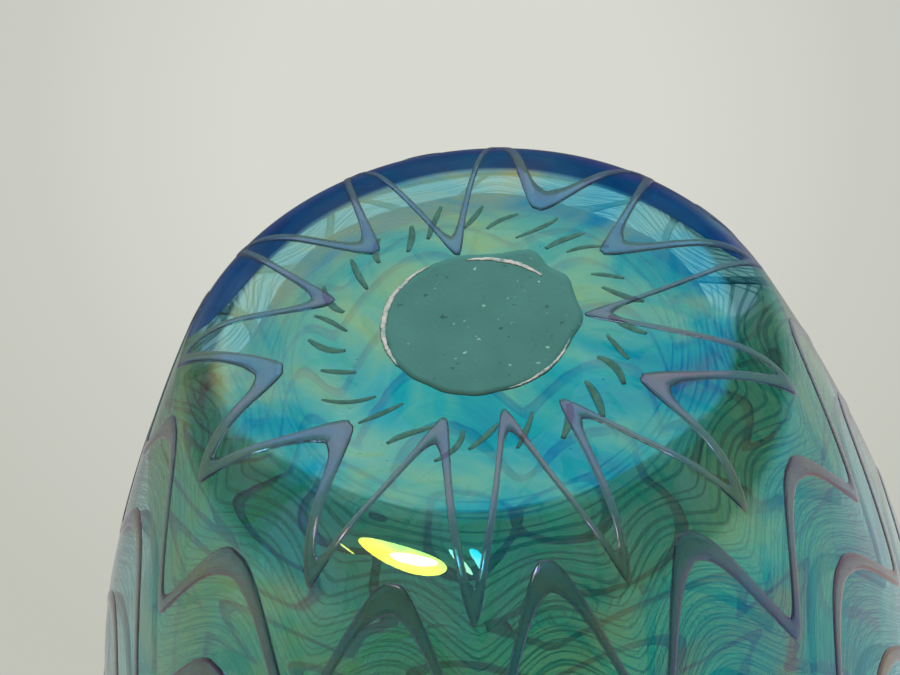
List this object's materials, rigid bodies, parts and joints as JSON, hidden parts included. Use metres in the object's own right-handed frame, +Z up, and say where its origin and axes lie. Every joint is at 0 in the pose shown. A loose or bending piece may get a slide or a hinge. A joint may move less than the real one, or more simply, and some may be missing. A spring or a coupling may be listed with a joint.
{
  "type": "blown glass vase",
  "caption": "Hand blown iridescent glass vase with a flat base, ground pontil seal, flared shouldered body, combed zigzag trails and an everted lip.",
  "frame": {"origin": "on the resting plane, under the centre of the base", "axes": "+Z up along the vase's own axis, from the base to the mouth; X and Y are free, the vase is round"},
  "size_m": [0.1325, 0.1328, 0.1567],
  "materials": {
    "aqua_glass": "clear aqua glass, fire polished, iridescent lustre",
    "green_glass": "clear green glass, fire polished",
    "ground_glass": "ground, satin, slightly pitted",
    "trail_glass": "smoky violet grey glass, fire polished, iridescent lustre",
    "thread_glass": "dark green glass hairlines"
  },
  "bodies": {
    "root": {"inner_bubble": "green_glass", "outer_casing": "aqua_glass", "pontil_seal": "ground_glass", "zigzag_trail_1": "trail_glass", "zigzag_trail_2": "trail_glass", "zigzag_trail_3": "trail_glass", "zigzag_trail_4": "trail_glass", "zigzag_trail_5": "trail_glass", "zigzag_trail_6": "trail_glass", "zigzag_trail_7": "trail_glass", "zigzag_trail_8": "trail_glass", "fine_threads_1": "thread_glass", "fine_threads_2": "thread_glass", "fine_threads_3": "thread_glass", "fine_threads_4": "thread_glass", "fine_threads_5": "thread_glass", "fine_threads_6": "thread_glass", "fine_threads_7": "thread_glass"}
  },
  "joints": []
}
